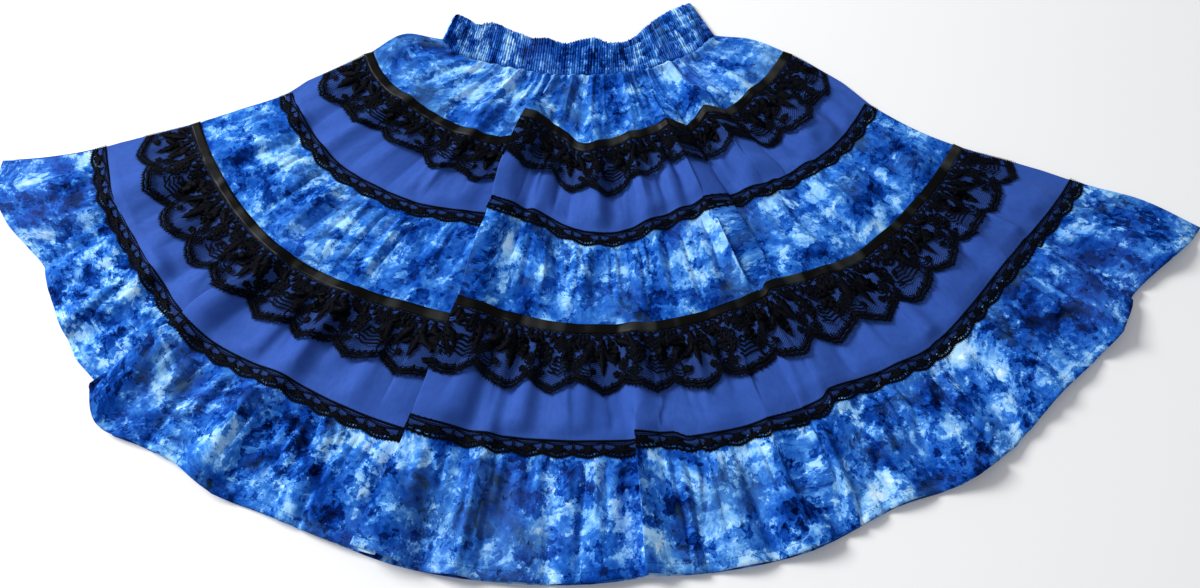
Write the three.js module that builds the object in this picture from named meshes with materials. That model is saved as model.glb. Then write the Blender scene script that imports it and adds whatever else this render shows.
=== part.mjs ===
import * as THREE from 'three';

// Square dance skirt with five gathered tiers, laid out flat in a fan.
// Millimetres, +Z up, the waistband towards +Y and the hem towards -Y.
// Every seam lies on rays from one apex above the waistband.

const apex = { x: 6.73, y: 312.2 };
const leftEdge = -67;            // degrees from -Y, the fan's left side on a mean ray
const rightEdge = 62;
const frontColumns = 60;
const backColumns = 15;

const wall = 1.1;                // the cloth as a rigid wall
const trimWall = 1.0;            // ribbon and lace as a rigid wall
const seamGap = 0.3;             // between two pieces sewn edge to edge
const layerGap = 0.3;            // between a trim and the cloth that it lies on
const backLift = trimWall + layerGap;      // the back's cloth where a trim lies under it
const slit = 0.5;                // least space between the skirt's front and its back
const frontBase = backLift + wall + slit;  // the lowest inner face of the front
const sideRound = 2.2;           // how far a folded side swells out of the edge
const sideThickness = 1.2;       // a wall is this much thicker where it goes round a side
const sideClearance = 0.9;       // and a trim stays this far outside the layer gap there
const trimSideRound = sideRound + layerGap + trimWall * sideThickness + sideClearance;
const steepest = 1.5;            // slope past which the wall is thickened no further

const ribbonWidth = 9.5;
const narrowLaceWidth = 16;
const rampStart = 1;             // past a trim the back stays up for this length
const rampLength = 12;           // and comes down to the surface over this length
const seamShare = 0.5;           // the seam runs under the middle of its ribbon or lace
const seamRipple = 0.9;          // height of the small puckers where a seam is sewn down
const seamPuckers = 29;
const scallopShare = 0.06;       // a scallop's depth as a share of the wide lace's

// The lines down the skirt: each seam, the feet of the two wide laces, and the hem
const lines = ['band', 'ribbonOne', 'footOne', 'laceOne', 'ribbonTwo', 'footTwo', 'laceTwo', 'hem'];
const line = Object.fromEntries(lines.map((name, index) => [name, index]));

// A row for each ray of the fan: its angle, and how far from the apex it meets each line but
// the hem
const rays = namedRows(['angle', ...lines.slice(0, -1)], [
  [-68, 173, 243, 308, 331, 422, 482, 510],
  [-60, 169, 242, 308, 331, 423, 492, 516],
  [-49, 151, 230, 289, 330, 424, 494, 518],
  [-41, 139, 224, 280, 322, 422, 491, 524],
  [-31, 129, 216, 279, 310, 411, 481, 511],
  [-22.5, 124, 203, 263, 292, 398, 469, 508],
  [-20, 122, 179, 245, 281, 386, 460, 499],
  [-11, 117, 184, 247, 281, 385, 459, 496],
  [0, 114, 196, 262, 295, 388, 456, 493],
  [11, 114, 185, 243, 284, 387, 462, 495],
  [21, 116, 183, 236, 278, 381, 457, 493],
  [24, 117, 194, 247, 281, 377, 457, 488],
  [33, 119, 186, 239, 287, 389, 463, 497],
  [36, 120, 196, 257, 290, 391, 464, 496],
  [48, 127, 199, 269, 298, 390, 456, 487],
  [62, 131, 202, 262, 298, 390, 457, 499],
]);

// The hem runs in and out more often than the seams do
const hemCourse = namedRows(['angle', 'hem'], [
  [-68, 600],
  [-66, 608],
  [-63, 613],
  [-60, 609],
  [-57.5, 601],
  [-55.5, 596],
  [-53, 601],
  [-49.5, 606],
  [-47, 612],
  [-43, 614],
  [-40.7, 633],
  [-37.5, 624],
  [-34, 617],
  [-30, 620],
  [-26, 614],
  [-20, 612],
  [-15, 614],
  [-7, 611],
  [0, 607],
  [3.5, 603],
  [8, 605],
  [16, 605],
  [19.5, 600],
  [23.5, 596],
  [29, 604],
  [34, 602],
  [40, 594],
  [45, 596],
  [49, 598],
  [51.5, 590],
  [54, 593],
  [57, 602],
  [60, 614],
  [62, 619],
]);

function namedRows(names, rows) {
  return rows.map((row) => Object.fromEntries(names.map((name, index) => [name, row[index]])));
}

// A row for each place where the folded sides change direction, in degrees from -Y
const sides = [
  { at: line.band, left: -67, right: 61.5 },
  { at: 0.45, left: -73, right: 66 },
  { at: line.ribbonOne, left: -69.6, right: 65.4 },
  { at: line.footOne, left: -67.2, right: 62.7 },
  { at: line.laceOne, left: -65.8, right: 60 },
  { at: 3.5, left: -65.9, right: 59.2 },
  { at: line.ribbonTwo, left: -66, right: 59.5 },
  { at: line.footTwo, left: -66.7, right: 61 },
  { at: line.laceTwo, left: -67, right: 61.6 },
  { at: 6.5, left: -67.8, right: 62.5 },
  { at: line.hem, left: -69, right: 62 },
];
const sideReach = 20;            // degrees over which a side's shift fades into the fan
const sideCalm = 0.03;           // the share of the width at each side where waves die away
const frillCalm = 0.06;          // and where a frill's own waves do

// A row for each pleat and large fold: its angle, the lines between which it lies, its height,
// and the degrees that it takes to rise on the left and fall on the right
const folds = [
  { angle: -20.5, from: 0.4, to: 8, height: 13, left: 1.9, right: 7 },
  { angle: 21.8, from: 0.5, to: 3.8, height: 8, left: 5.5, right: 1.9 },
  { angle: 22.5, from: 3.8, to: 6.4, height: 6, left: 1.9, right: 5 },
  { angle: 34, from: 0.3, to: 2.8, height: 8, left: 6, right: 1.9 },
  { angle: -1.5, from: 0.3, to: 2.6, height: 5, left: 5, right: 5 },
  { angle: -33, from: 0.2, to: 2.6, height: 5, left: 4, right: 2.5 },
  { angle: 47, from: 0.2, to: 2.4, height: 5, left: 3, right: 4 },
  { angle: -52, from: 0.6, to: 3.8, height: 5, left: 4, right: 3 },
  { angle: -12.5, from: 1.5, to: 3.8, height: 5, left: 2.5, right: 4 },
  { angle: 8.5, from: 0.6, to: 3.7, height: 4, left: 3, right: 3 },
  { angle: 15, from: 1.6, to: 3.9, height: 4, left: 2.5, right: 3 },
  { angle: 29, from: 2.4, to: 4, height: 5, left: 2.5, right: 4 },
  { angle: 41, from: 2.4, to: 4, height: 5, left: 4, right: 2.5 },
  { angle: -60, from: 2.4, to: 8, height: 6, left: 5, right: 3.5 },
  { angle: 5.4, from: 3.8, to: 8, height: 8, left: 2, right: 2 },
  { angle: -11.5, from: 3.8, to: 8, height: 6, left: 4, right: 2 },
  { angle: 17, from: 3.8, to: 8, height: 6, left: 3.5, right: 2 },
  { angle: -31.5, from: 3.8, to: 8, height: 8, left: 3.5, right: 2.5 },
  { angle: 30.5, from: 3.8, to: 8, height: 6, left: 2.5, right: 4 },
  { angle: 39.5, from: 3.8, to: 8, height: 5, left: 3, right: 3 },
  { angle: 48.8, from: 3.8, to: 8, height: 8, left: 4, right: 2 },
  { angle: 57.5, from: 3.8, to: 8, height: 5, left: 2.5, right: 3 },
  { angle: -42, from: 3.8, to: 8, height: 9, left: 3, right: 2.3 },
  { angle: -49.5, from: 5, to: 8, height: 7, left: 3.5, right: 2 },
];
const foldFade = 0.4;            // the share of a line's spacing over which a fold runs out

// A row for each section of the waistband: its share of the way across, how deep it lies, and
// how far it leans to the right of +Y in degrees
const bandSections = [
  { share: 0, depth: 34, lean: 17 },
  { share: 0.1, depth: 46, lean: 13 },
  { share: 0.21, depth: 50, lean: 9 },
  { share: 0.33, depth: 42, lean: 6 },
  { share: 0.44, depth: 45, lean: 3 },
  { share: 0.56, depth: 47, lean: 2 },
  { share: 0.67, depth: 40, lean: -6 },
  { share: 0.77, depth: 51, lean: -16 },
  { share: 0.88, depth: 59, lean: -22 },
  { share: 1, depth: 50, lean: -27 },
];
const bandRibs = 50;
const bandSteps = 200;           // for measuring along the curved seam
const bandRibHeight = 1.3;
const bandPuff = 0.8;            // how far the cloth puffs up between two lines of elastic

// A row for each line of elastic or puff between two, from the frilled top to the seam
const bandRows = [
  { share: 0, puff: 0.9 },
  { share: 0.16, puff: 0.25 },
  { share: 0.3, puff: 1 },
  { share: 0.44, puff: 0.25 },
  { share: 0.58, puff: 1 },
  { share: 0.72, puff: 0.25 },
  { share: 0.87, puff: 1 },
  { share: 1, puff: 0.5 },
];

const degrees = THREE.MathUtils.degToRad;
const { clamp, lerp, smoothstep } = THREE.MathUtils;

function material(colour, roughness) {
  return new THREE.MeshStandardMaterial({ color: colour, roughness, metalness: 0 });
}

// A smooth curve through one column of a table
function tableValue(table, key, value, at) {
  const last = table.length - 1;
  let low = 0;
  while (low < last - 1 && table[low + 1][at] < value) low += 1;
  const high = low + 1;
  const span = table[high][at] - table[low][at];
  const slope = (index) => {
    const before = table[Math.max(index - 1, 0)];
    const after = table[Math.min(index + 1, last)];
    return (after[key] - before[key]) / (after[at] - before[at]);
  };
  const t = clamp((value - table[low][at]) / span, 0, 1);
  const rise = table[high][key] - table[low][key];
  const early = slope(low) * span - rise;
  const late = rise - slope(high) * span;
  return table[low][key] + t * rise + t * (1 - t) * ((1 - t) * early + t * late);
}

// Distance from the apex: a row lies at a line, or part of the way to the next, plus some mm
function rowRadius(angle, row) {
  const upper = Math.min(Math.floor(row.at), lines.length - 2);
  const from = tableValue(rays, lines[upper], angle, 'angle');
  const below = upper + 1 === line.hem ? hemCourse : rays;
  const to = tableValue(below, lines[upper + 1], angle, 'angle');
  return lerp(from, to, row.at - upper) + (row.add ?? 0);
}

// The true angle of a ray once the sides' own course is added
function rowAngle(angle, row) {
  const nearLeft = smoothstep(leftEdge + sideReach - angle, 0, sideReach);
  const nearRight = smoothstep(angle - rightEdge + sideReach, 0, sideReach);
  const left = tableValue(sides, 'left', row.at, 'at') - leftEdge;
  const right = tableValue(sides, 'right', row.at, 'at') - rightEdge;
  return angle + left * nearLeft + right * nearRight;
}

function foldHeight(angle, at) {
  let height = 0;
  for (const fold of folds) {
    const along = Math.min(at - fold.from, fold.to - at) / foldFade;
    const aside = angle - fold.angle;
    const reach = aside < 0 ? fold.left : fold.right;
    height += fold.height * clamp(along, 0, 1) * (1 - smoothstep(Math.abs(aside), 0, reach));
  }
  return height;
}

// Uneven gathers between 0 and 1, as many across the front as a tier has
function gather(share, waves) {
  const turn = 2 * Math.PI * share;
  const uneven = Math.sin(turn * waves + 2 * Math.sin(turn * 3.3 + waves));
  const slower = Math.sin(turn * waves * 0.37 + 1.7 * waves);
  return clamp(0.5 + 0.36 * uneven + 0.22 * slower, 0, 1);
}

function fanPoint(radius, turned, height) {
  return new THREE.Vector3(apex.x + radius * Math.sin(turned), apex.y - radius * Math.cos(turned), height);
}

// The inner face of the front at one column of one row
function frontPoint(share, row, waves) {
  if (row.mix) {
    const [start, end] = row.mix.map((edge) => frontPoint(share, edge, waves));
    return start.lerp(end, row.share);
  }
  const angle = lerp(leftEdge, rightEdge, share);
  const radius = rowRadius(angle, row);
  const turned = degrees(rowAngle(angle, row));
  const sideFade = smoothstep(Math.min(share, 1 - share), 0, sideCalm);
  const ripple = seamRipple * gather(share, seamPuckers);
  const swell = (row.swell ?? 0) * gather(share, waves);
  const height = frontBase + sideFade * (foldHeight(angle, row.at) + ripple + swell);
  return fanPoint(radius, turned, height);
}

function backPoint(share, row) {
  const angle = lerp(leftEdge, rightEdge, share);
  const radius = rowRadius(angle, row);
  const turned = degrees(rowAngle(angle, row));
  return fanPoint(radius, turned, row.lift ?? 0);
}

// How much taller a wall of even thickness stands on a slope, at each point of a row
function slopeFactors(points) {
  return points.map((point, index) => {
    const near = [points[index - 1], points[index + 1]].filter((other) => other);
    const slopes = near.map((other) => {
      const run = Math.hypot(other.x - point.x, other.y - point.y);
      return Math.abs(other.z - point.z) / run;
    });
    return Math.hypot(1, Math.min(Math.max(...slopes), steepest));
  });
}

function raised(points, factors, distance) {
  return points.map((point, index) => {
    return new THREE.Vector3(point.x, point.y, point.z + distance * factors[index]);
  });
}

// A point outside the end of a row, half-way down to the back
function sidePoint(edge, next, height, swell) {
  const outward = new THREE.Vector2(edge.x - next.x, edge.y - next.y).setLength(swell);
  return new THREE.Vector3(edge.x + outward.x, edge.y + outward.y, height);
}

// A closed ring of cloth from four faces, each a list of rows of points from left to right.
// The outer and the inner face each run over the front, round the right side, back under it
// and round the left side.
function ringGeometry(outer, inner) {
  const positions = [];
  const triangles = [];
  const addPoint = (point) => positions.push(point.x, point.y, point.z) / 3 - 1;
  const column = (rows, index) => rows.map((row) => addPoint(row[index]));
  const apart = (row) => Math.hypot(row.x - apex.x, row.y - apex.y);

  function loopColumns(face) {
    const front = face.front[0].map((point, index) => {
      return { ids: column(face.front, index), at: face.front.map((row) => apart(row[index])) };
    });
    const back = face.back[0].map((point, index) => {
      return { ids: column(face.back, index), at: face.back.map((row) => apart(row[index])) };
    });
    const side = (points, edge) => ({ ids: points.map(addPoint), at: edge.at });
    const right = side(face.right, front[front.length - 1]);
    const left = side(face.left, front[0]);
    return [...front, right, ...back.reverse(), left];
  }

  function addFace(a, b, c, outward) {
    if (outward) triangles.push(a, b, c);
    else triangles.push(a, c, b);
  }

  // Where two neighbouring columns have different numbers of rows, the nearer row comes first
  function addStrip(first, second, outward) {
    const even = first.ids.length === second.ids.length;
    const at = (entry, index) => (even ? index : entry.at[index]);
    let i = 0;
    let j = 0;
    while (i < first.ids.length - 1 || j < second.ids.length - 1) {
      const moreFirst = i < first.ids.length - 1;
      const moreSecond = j < second.ids.length - 1;
      const firstIsNearer = moreFirst && (!moreSecond || at(first, i + 1) <= at(second, j + 1));
      if (firstIsNearer) {
        addFace(first.ids[i], first.ids[i + 1], second.ids[j], outward);
        i += 1;
      } else {
        addFace(first.ids[i], second.ids[j + 1], second.ids[j], outward);
        j += 1;
      }
    }
  }

  const loops = [loopColumns(outer), loopColumns(inner)];
  loops.forEach((loop, which) => {
    loop.forEach((current, index) => {
      addStrip(current, loop[(index + 1) % loop.length], which === 0);
    });
  });
  const [outerLoop, innerLoop] = loops;
  outerLoop.forEach((current, index) => {
    const next = (index + 1) % outerLoop.length;
    for (const top of [true, false]) {
      const end = (entry) => entry.ids[top ? 0 : entry.ids.length - 1];
      const [a, b] = [end(current), end(outerLoop[next])];
      const [c, d] = [end(innerLoop[index]), end(innerLoop[next])];
      addFace(a, b, c, top);
      addFace(b, d, c, top);
    }
  });
  const geometry = new THREE.BufferGeometry();
  geometry.setAttribute('position', new THREE.Float32BufferAttribute(positions, 3));
  geometry.setIndex(triangles);
  geometry.computeVertexNormals();
  return geometry;
}

function shares(columns) {
  return Array.from({ length: columns + 1 }, (_, index) => index / columns);
}

// The faces of a ring whose inner front rises `gap` over the given rows and is `thick` thick
function ringFaces(frontRows, backRows, gap, thick, swell) {
  const factors = frontRows.map(slopeFactors);
  const innerFront = frontRows.map((row, index) => raised(row, factors[index], gap));
  const outerFront = frontRows.map((row, index) => raised(row, factors[index], gap + thick));
  const innerBack = backRows.map((row) => row.map((point) => point.clone().setZ(point.z + thick)));
  const end = frontRows[0].length - 1;
  const middle = (index, edge) => {
    const share = index / (frontRows.length - 1);
    const low = lerp(backRows[0][0].z, backRows[backRows.length - 1][0].z, share);
    return (outerFront[index][edge].z + low) / 2;
  };
  const side = (edge, next, out) => frontRows.map((row, index) => {
    return sidePoint(row[edge], row[next], middle(index, edge), out);
  });
  const sidesAt = (out) => ({ left: side(0, 1, out), right: side(end, end - 1, out) });
  const outer = { front: outerFront, back: backRows, ...sidesAt(swell) };
  const inner = { front: innerFront, back: innerBack, ...sidesAt(swell - thick * sideThickness) };
  return [outer, inner];
}

function clothRing({ name, look, rows, backRows, waves }) {
  const front = rows.map((row) => shares(frontColumns).map((share) => frontPoint(share, row, waves)));
  const back = backRows.map((row) => shares(backColumns).map((share) => backPoint(share, row)));
  const mesh = new THREE.Mesh(ringGeometry(...ringFaces(front, back, 0, wall, sideRound)), look);
  mesh.name = name;
  return mesh;
}

// Ribbon or lace laid on the cloth: the cloth's own points, moved out. A frill stands off
// further in waves of its own, and its foot is cut in scallops.
function trimRing({ name, look, rows, backRows, clothWaves = 0, frillWaves = 0 }) {
  const front = rows.map((row) => shares(frontColumns).map((share) => {
    const shortened = row.scallop ? row.scallop * scallop(share, frillWaves) : 0;
    const point = frontPoint(share, row.mix ? { ...row, share: row.share - shortened } : row, clothWaves);
    const inward = Math.min(share, 1 - share);
    if (row.stand) point.z += smoothstep(inward, 0, frillCalm) * row.stand * gather(share, frillWaves);
    if (row.off) point.z += Math.min(inward * frontColumns, 1) * row.off;
    return point;
  }));
  const back = backRows.map((row) => shares(backColumns).map((share) => backPoint(share, row)));
  const faces = ringFaces(front, back, wall + layerGap, trimWall, trimSideRound);
  const mesh = new THREE.Mesh(ringGeometry(...faces), look);
  mesh.name = name;
  return mesh;
}

// 0 at a scallop's tip and 1 between two
function scallop(share, count) {
  return 1 - Math.abs(Math.sin(Math.PI * share * count));
}

// Ribs are raised in the waistband's outer points; its inside is plain
function waistband(look) {
  const bandRow = { at: line.band, add: -seamGap / 2 };
  const steps = shares(bandSteps);
  const seamAt = (share) => frontPoint(share, bandRow, 0).setZ(0);
  const lengths = [0];
  steps.slice(1).forEach((share, index) => {
    lengths.push(lengths[index] + seamAt(share).distanceTo(seamAt(steps[index])));
  });
  const total = lengths[lengths.length - 1];

  // The share of the seam's length that lies left of a share of the fan's angle
  function lengthShare(share) {
    const index = Math.min(Math.floor(share * (steps.length - 1)), steps.length - 2);
    const part = share * (steps.length - 1) - index;
    return lerp(lengths[index], lengths[index + 1], part) / total;
  }

  // The other way round, so that the ribs are evenly wide along the seam
  function angleShare(share) {
    const wanted = share * total;
    let index = 1;
    while (index < lengths.length - 1 && lengths[index] < wanted) index += 1;
    const part = (wanted - lengths[index - 1]) / (lengths[index] - lengths[index - 1]);
    return lerp(steps[index - 1], steps[index], clamp(part, 0, 1));
  }

  function bandPoint(share, down, height) {
    const seam = seamAt(share);
    const across = lengthShare(share);
    const depth = tableValue(bandSections, 'depth', across, 'share') * (1 - down);
    const lean = degrees(tableValue(bandSections, 'lean', across, 'share'));
    return new THREE.Vector3(seam.x + depth * Math.sin(lean), seam.y + depth * Math.cos(lean), height);
  }

  const ribColumns = shares(2 * bandRibs).map(angleShare);
  const innerHeight = frontBase;
  const outerFront = bandRows.map(({ share: down, puff }) => ribColumns.map((share, index) => {
    const rib = index % 2 === 1 ? bandRibHeight : 0;
    return bandPoint(share, down, innerHeight + wall + puff * (rib + bandPuff));
  }));
  const ends = [0, 1];
  const innerFront = ends.map((down) => ribColumns.map((share) => bandPoint(share, down, innerHeight)));
  const under = (height) => ends.map((down) => {
    return shares(backColumns).map((share) => bandPoint(share, down, height));
  });
  const end = ribColumns.length - 1;
  const middle = (innerHeight + wall) / 2;
  const side = (rows, edge, next, out) => rows.map((row) => sidePoint(row[edge], row[next], middle, out));
  const tucked = sideRound - wall * sideThickness;
  const outer = {
    front: outerFront,
    back: under(0),
    left: side(outerFront, 0, 2, sideRound),
    right: side(outerFront, end, end - 2, sideRound),
  };
  const inner = {
    front: innerFront,
    back: under(wall),
    left: side(innerFront, 0, 2, tucked),
    right: side(innerFront, end, end - 2, tucked),
  };
  const mesh = new THREE.Mesh(ringGeometry(outer, inner), look);
  mesh.name = 'waistband';
  return mesh;
}

// The rows where a ribbon or a narrow lace begins and ends, and the two sides of the seam that
// it covers
function seamRows(at, width) {
  const top = { at };
  const bottom = { at, add: width };
  const gapShare = seamGap / 2 / width;
  const above = { mix: [top, bottom], share: seamShare - gapShare };
  const below = { mix: [top, bottom], share: seamShare + gapShare };
  const backAbove = { at, add: width * (seamShare - gapShare), lift: backLift };
  const backBelow = { at, add: width * (seamShare + gapShare), lift: backLift };
  return { at, width, top, bottom, above, below, backAbove, backBelow };
}

const printed = material('#2f62bd', 0.8);
const plainBlue = material('#4a68bd', 0.75);
const satin = material('#0c0c10', 0.3);
const lace = material('#0a0c10', 0.85);

const ribbonOne = seamRows(line.ribbonOne, ribbonWidth);
const laceOne = seamRows(line.laceOne, narrowLaceWidth);
const ribbonTwo = seamRows(line.ribbonTwo, ribbonWidth);
const laceTwo = seamRows(line.laceTwo, narrowLaceWidth);

// The back of a printed tier is down on the surface but for the strips that lie on trims
const downAfter = (trim) => [
  { at: trim.at, add: trim.width + rampStart, lift: backLift },
  { at: trim.at, add: trim.width + rampStart + rampLength },
];
const upBefore = (trim) => [
  { at: trim.at, add: -rampStart - rampLength },
  { at: trim.at, add: -rampStart, lift: backLift },
];
// The back of a plain tier is held up all over by the trims under it
const plainBack = (ribbon, foot, narrow) => [
  ribbon.backBelow,
  { at: ribbon.at, add: ribbon.width, lift: backLift },
  { at: foot.at, lift: backLift },
  { at: narrow.at, lift: backLift },
  narrow.backAbove,
];

const footRow = { one: { at: line.footOne, swell: 3 }, two: { at: line.footTwo, swell: 4 } };
const waves = { one: 31, two: 19, three: 31, four: 21, five: 33 };

const skirt = new THREE.Group();
skirt.add(waistband(printed.clone()));

skirt.add(clothRing({
  name: 'tier_one',
  look: printed.clone(),
  waves: waves.one,
  rows: [
    { at: line.band, add: seamGap / 2, swell: 1 },
    { at: 0.22, swell: 3.2 },
    { at: 0.6, swell: 3 },
    ribbonOne.top,
    ribbonOne.above,
  ],
  backRows: [
    { at: line.band, add: seamGap / 2 },
    { at: 0.45 },
    ...upBefore(ribbonOne),
    ribbonOne.backAbove,
  ],
}));

skirt.add(clothRing({
  name: 'tier_two',
  look: plainBlue.clone(),
  waves: waves.two,
  rows: [ribbonOne.below, ribbonOne.bottom, footRow.one, laceOne.top, laceOne.above],
  backRows: plainBack(ribbonOne, footRow.one, laceOne),
}));

skirt.add(clothRing({
  name: 'tier_three',
  look: printed.clone(),
  waves: waves.three,
  rows: [
    laceOne.below,
    laceOne.bottom,
    { at: 3.34, swell: 4 },
    { at: 3.65, swell: 3 },
    ribbonTwo.top,
    ribbonTwo.above,
  ],
  backRows: [laceOne.backBelow, ...downAfter(laceOne), ...upBefore(ribbonTwo), ribbonTwo.backAbove],
}));

skirt.add(clothRing({
  name: 'tier_four',
  look: plainBlue.clone(),
  waves: waves.four,
  rows: [ribbonTwo.below, ribbonTwo.bottom, footRow.two, laceTwo.top, laceTwo.above],
  backRows: plainBack(ribbonTwo, footRow.two, laceTwo),
}));

skirt.add(clothRing({
  name: 'tier_five',
  look: printed.clone(),
  waves: waves.five,
  rows: [
    laceTwo.below,
    laceTwo.bottom,
    { at: 6.3, swell: 5 },
    { at: 6.6, swell: 4 },
    { at: line.hem, swell: 3.5 },
  ],
  backRows: [laceTwo.backBelow, ...downAfter(laceTwo), { at: line.hem }],
}));

for (const [name, trim] of [['ribbon_one', ribbonOne], ['ribbon_two', ribbonTwo]]) {
  skirt.add(trimRing({
    name,
    look: satin.clone(),
    rows: [trim.top, trim.bottom],
    backRows: [{ at: trim.at }, { at: trim.at, add: trim.width }],
  }));
}

for (const [name, trim] of [['narrow_lace_one', laceOne], ['narrow_lace_two', laceTwo]]) {
  skirt.add(trimRing({
    name,
    look: lace.clone(),
    rows: [trim.top, trim.bottom],
    backRows: [{ at: trim.at }, { at: trim.at, add: trim.width }],
  }));
}

const wideLaces = [
  { name: 'wide_lace_one', ribbon: ribbonOne, foot: footRow.one, clothWaves: waves.two, frillWaves: 12 },
  { name: 'wide_lace_two', ribbon: ribbonTwo, foot: footRow.two, clothWaves: waves.four, frillWaves: 20 },
];
for (const { name, ribbon, foot, clothWaves, frillWaves } of wideLaces) {
  const head = { at: ribbon.at, add: ribbon.width + seamGap };
  const span = [head, foot];
  skirt.add(trimRing({
    name,
    look: lace.clone(),
    clothWaves,
    frillWaves,
    rows: [
      head,
      { mix: span, share: 0.5, off: 1.6, stand: 1.6 },
      { mix: span, share: 1, off: 0.4, stand: 4, scallop: scallopShare },
    ],
    backRows: [head, { at: foot.at }],
  }));
}

export default skirt;
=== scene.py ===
import functools
import math

import bpy
import numpy as np
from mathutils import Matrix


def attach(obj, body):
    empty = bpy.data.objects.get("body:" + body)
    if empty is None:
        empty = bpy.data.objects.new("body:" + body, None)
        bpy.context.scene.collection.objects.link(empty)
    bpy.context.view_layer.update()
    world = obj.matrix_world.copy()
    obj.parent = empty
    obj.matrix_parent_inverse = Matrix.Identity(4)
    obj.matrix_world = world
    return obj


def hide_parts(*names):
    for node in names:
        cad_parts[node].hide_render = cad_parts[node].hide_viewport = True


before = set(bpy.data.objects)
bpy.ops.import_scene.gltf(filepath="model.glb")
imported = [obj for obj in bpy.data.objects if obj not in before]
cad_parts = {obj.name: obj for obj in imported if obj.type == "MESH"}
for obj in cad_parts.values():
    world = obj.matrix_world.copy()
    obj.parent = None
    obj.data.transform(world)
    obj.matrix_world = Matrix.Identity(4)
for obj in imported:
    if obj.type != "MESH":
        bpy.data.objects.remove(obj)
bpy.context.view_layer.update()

# Square dance skirt laid flat in a fan, the waistband towards +Y and the hem towards -Y.
# Sizes are worked out in millimetres and degrees from -Y, and turned to metres in each mesh.
rng = np.random.default_rng(7)
print("frame loaded")


# camera, light and floor
stagePlan = {
    "cameraPlace": (0.00673, -0.4518, 0.784),
    "cameraAim": (0.00673, -0.0438, 0.0),
    "lens": 30.0,
    "sensorWidth": 36.0,
    "keyPlace": (-2.4, 1.0, 1.9),
    "keySize": 1.25,
    "keyPower": 124.0,
    "skyColour": "F4F7FF",
    "skyStrength": 0.46,
    "floorColour": "F6F6F4",
    "floorSize": 8.0,
}


def linear(hexCode):
    # sRGB hex to the linear colour that a shader reads
    parts = [int(hexCode[i:i + 2], 16) / 255 for i in (0, 2, 4)]
    return [c / 12.92 if c <= 0.04045 else ((c + 0.055) / 1.055) ** 2.4 for c in parts] + [1.0]


def setInputs(item, inputs):
    # each input takes a value, a socket, or a node for its first output
    for key, value in inputs.items():
        if isinstance(value, bpy.types.Node):
            value = value.outputs[0]
        if isinstance(value, bpy.types.NodeSocket):
            item.id_data.links.new(value, item.inputs[key])
        else:
            item.inputs[key].default_value = value
    return item


def addNode(tree, kind, inputs=None, **settings):
    # one node with its settings and its links
    item = tree.nodes.new("ShaderNode" + kind)
    for key, value in settings.items():
        setattr(item, key, value)
    return setInputs(item, inputs or {})


def newMaterial(name, shaderValues):
    # the material, the function that adds its nodes, and its shader
    material = bpy.data.materials.new(name)
    material.use_nodes = True
    tree = material.node_tree
    shader = next(item for item in tree.nodes if item.type == "BSDF_PRINCIPLED")
    return material, functools.partial(addNode, tree), setInputs(shader, shaderValues)


def aimAt(item, target):
    gap = [t - p for t, p in zip(target, item.location)]
    flat = math.hypot(gap[0], gap[1])
    item.rotation_euler = (math.atan2(flat, -gap[2]), 0.0, math.atan2(-gap[0], gap[1]))


def buildStage(plan):
    scene = bpy.context.scene
    camera = bpy.data.objects.new("camera", bpy.data.cameras.new("camera"))
    camera.data.lens = plan["lens"]
    camera.data.sensor_width = plan["sensorWidth"]
    camera.location = plan["cameraPlace"]
    aimAt(camera, plan["cameraAim"])
    scene.collection.objects.link(camera)
    scene.camera = camera
    scene.view_settings.view_transform = "Standard"

    lamp = bpy.data.lights.new("softLamp", "AREA")
    lamp.size = plan["keySize"]
    lamp.energy = plan["keyPower"]
    key = bpy.data.objects.new("softLamp", lamp)
    key.location = plan["keyPlace"]
    aimAt(key, (0.0, 0.0, 0.0))
    scene.collection.objects.link(key)

    world = bpy.data.worlds.new("studio")
    world.use_nodes = True
    sky = next(item for item in world.node_tree.nodes if item.type == "BACKGROUND")
    sky.inputs["Color"].default_value = linear(plan["skyColour"])
    sky.inputs["Strength"].default_value = plan["skyStrength"]
    scene.world = world

    half = plan["floorSize"] / 2
    sheet = bpy.data.meshes.new("floor")
    sheet.from_pydata([(-half, -half, 0), (half, -half, 0), (half, half, 0), (-half, half, 0)], [], [(0, 1, 2, 3)])
    floor = bpy.data.objects.new("floor", sheet)
    scene.collection.objects.link(floor)
    paper = {"Roughness": 0.9, "Base Color": linear(plan["floorColour"])}
    sheet.materials.append(newMaterial("mattWhitePaper", paper)[0])


buildStage(stagePlan)
print("stage set")


# the skirt's own frame: rays from one apex, and lines across them
skirtPlan = {
    "apex": (6.73, 312.2),
    "leftEdge": -67.0,
    "rightEdge": 62.0,
    "outerFace": 4.1,        # the front's outer face where no fold lifts it
    "backLift": 1.1,         # the back stands this high where a trim lies under it
    "sideReach": 20.0,       # degrees over which a side's own course fades into the fan
    "sideCalm": 0.03,        # share of the width at each side where folds die away
    "sideRound": 2.0,        # how far a folded side swells out
    "trimSideRound": 2.9,    # and the side of a trim round it
    "seamRipple": 0.9,
    "seamPuckers": 29,
    "ribbonWidth": 9.5,
    "narrowWidth": 16.0,
    "ribbonSeam": 4.75,      # where the cloths above and below meet under a ribbon
    "laceSeam": 8.0,         # and under a narrow lace
    "lineGap": 70.0,
    "trimLap": 1.12,
    "flatLeft": (-52.0, -26.0, 0.45),   # left of these angles the cloth lies smoother
    "backColumns": 70,
    "backReach": (9, 21),    # mm past a seam over which the back comes down to the floor
    "clothThickness": 0.45,
}
leftEdge, rightEdge = skirtPlan["leftEdge"], skirtPlan["rightEdge"]
fanAngle = rightEdge - leftEdge
boxPleat = {"line": "laceTwo", "from": 3.4, "to": 7.7, "up": 5.5}
lineNames = "band ribbonOne footOne laceOne ribbonTwo footTwo laceTwo hem".split()
line = {name: index for index, name in enumerate(lineNames)}


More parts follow.
